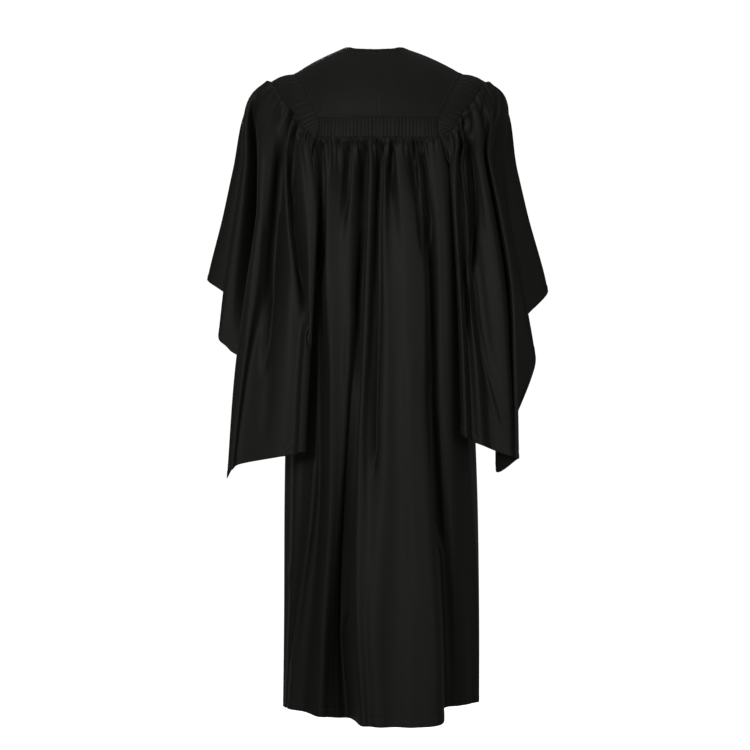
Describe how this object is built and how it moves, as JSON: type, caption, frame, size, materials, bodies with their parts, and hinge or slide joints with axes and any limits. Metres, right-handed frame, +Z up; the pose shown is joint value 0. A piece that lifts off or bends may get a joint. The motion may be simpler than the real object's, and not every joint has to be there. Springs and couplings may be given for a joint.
{
  "type": "graduation gown",
  "caption": "Long open black gown in worn form: flat yoke, fluted and gathered back, and pointed bell sleeves gathered into fluted heads.",
  "frame": {"origin": "middle of the neck opening, level with where the shoulders meet the neck", "axes": "+Z up, the gown's front faces -Y, its back +Y, and the wearer's left is +X"},
  "size_m": [0.6461, 0.3491, 1.2401],
  "materials": {
    "black_cloth": "satin black woven polyester",
    "fluted_cloth": "the same cloth in fine stitched flutes"
  },
  "bodies": {
    "root": {"yoke": "black_cloth", "back": "black_cloth", "front_left": "black_cloth", "front_right": "black_cloth", "sleeve_left": "black_cloth", "sleeve_right": "black_cloth", "back_fluting": "fluted_cloth", "sleeve_left_fluting": "fluted_cloth", "sleeve_right_fluting": "fluted_cloth"}
  },
  "joints": []
}
